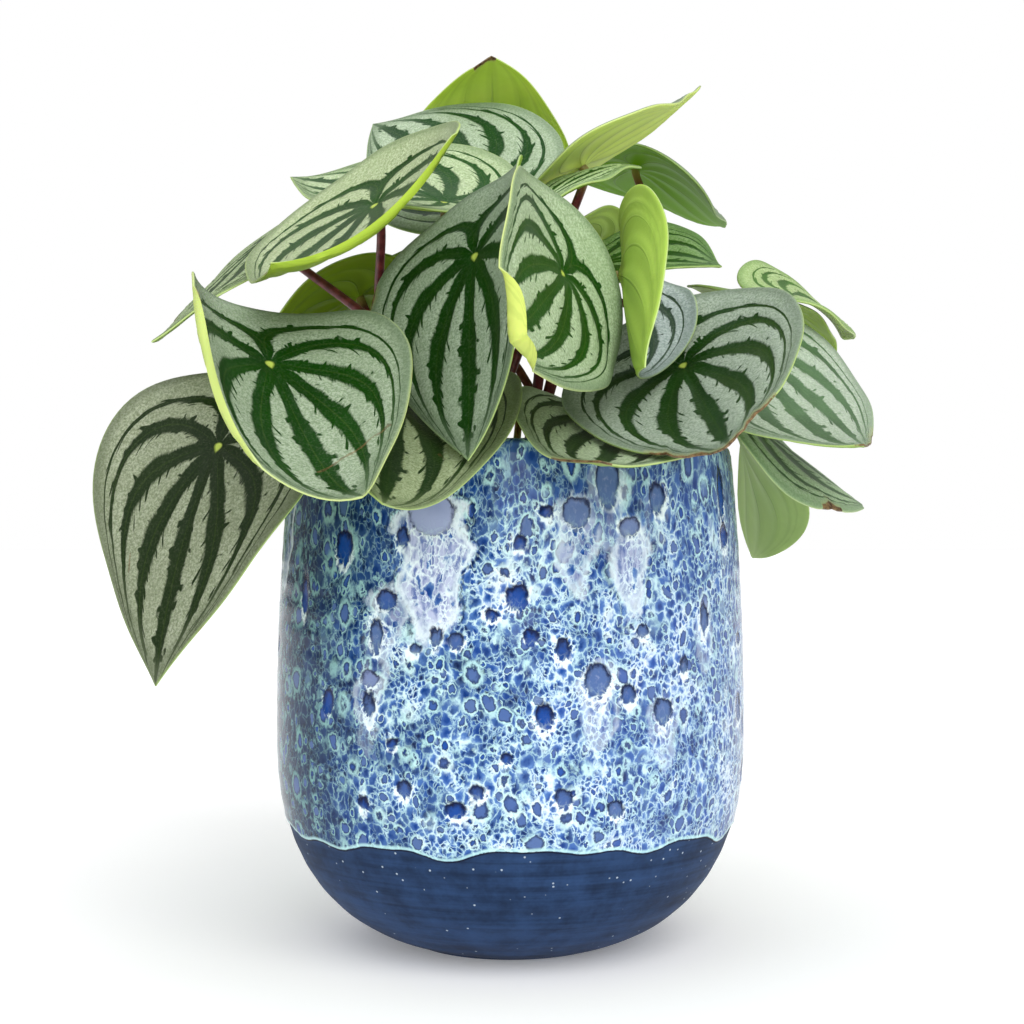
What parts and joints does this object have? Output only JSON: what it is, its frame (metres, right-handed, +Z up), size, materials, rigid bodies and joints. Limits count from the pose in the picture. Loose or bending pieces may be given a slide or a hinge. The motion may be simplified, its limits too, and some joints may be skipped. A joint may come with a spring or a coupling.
{
  "type": "potted house plant",
  "caption": "Potted peperomia: a bushy plant of striped, pointed oval leaves on red stalks, in a round glazed cover pot.",
  "frame": {"origin": "centre of the pot's flat foot, on the surface it stands on", "axes": "+Z up through the pot's axis, -Y towards the front of the plant as pictured, +X to its right"},
  "size_m": [0.232, 0.2741, 0.2751],
  "materials": {
    "glazed_stoneware": "glossy reactive glaze over a satin dark blue body",
    "potting_soil": "loose potting mix",
    "stalk": "smooth fleshy stalk",
    "leaf_blade": "satin leaf with dark green bands"
  },
  "bodies": {
    "root": {"pot": "glazed_stoneware", "soil": "potting_soil", "crown_front": "stalk", "crown_left": "stalk", "crown_right": "stalk", "crown_back": "stalk", "leaf_front_left": "leaf_blade", "leaf_front_middle": "leaf_blade", "leaf_middle_right": "leaf_blade", "leaf_curled": "leaf_blade", "leaf_front_right": "leaf_blade", "leaf_rim_middle": "leaf_blade", "leaf_rim_right": "leaf_blade", "leaf_hanging_left": "leaf_blade", "leaf_upper_left": "leaf_blade", "leaf_far_left": "leaf_blade", "leaf_left_inside": "leaf_blade", "leaf_top_back": "leaf_blade", "leaf_top": "leaf_blade", "leaf_top_right": "leaf_blade", "leaf_upper_middle": "leaf_blade", "leaf_upper_right": "leaf_blade", "leaf_small_upper": "leaf_blade", "leaf_back_inside": "leaf_blade", "leaf_right_inside": "leaf_blade", "leaf_right": "leaf_blade", "leaf_right_low": "leaf_blade", "leaf_right_hanging": "leaf_blade", "leaf_right_small": "leaf_blade", "leaf_right_behind": "leaf_blade", "leaf_back_right_middle": "leaf_blade", "leaf_back_low": "leaf_blade", "leaf_back_left_middle": "leaf_blade", "leaf_back_left": "leaf_blade", "leaf_back_upper_right": "leaf_blade", "leaf_back_upper_left": "leaf_blade"}
  },
  "joints": []
}
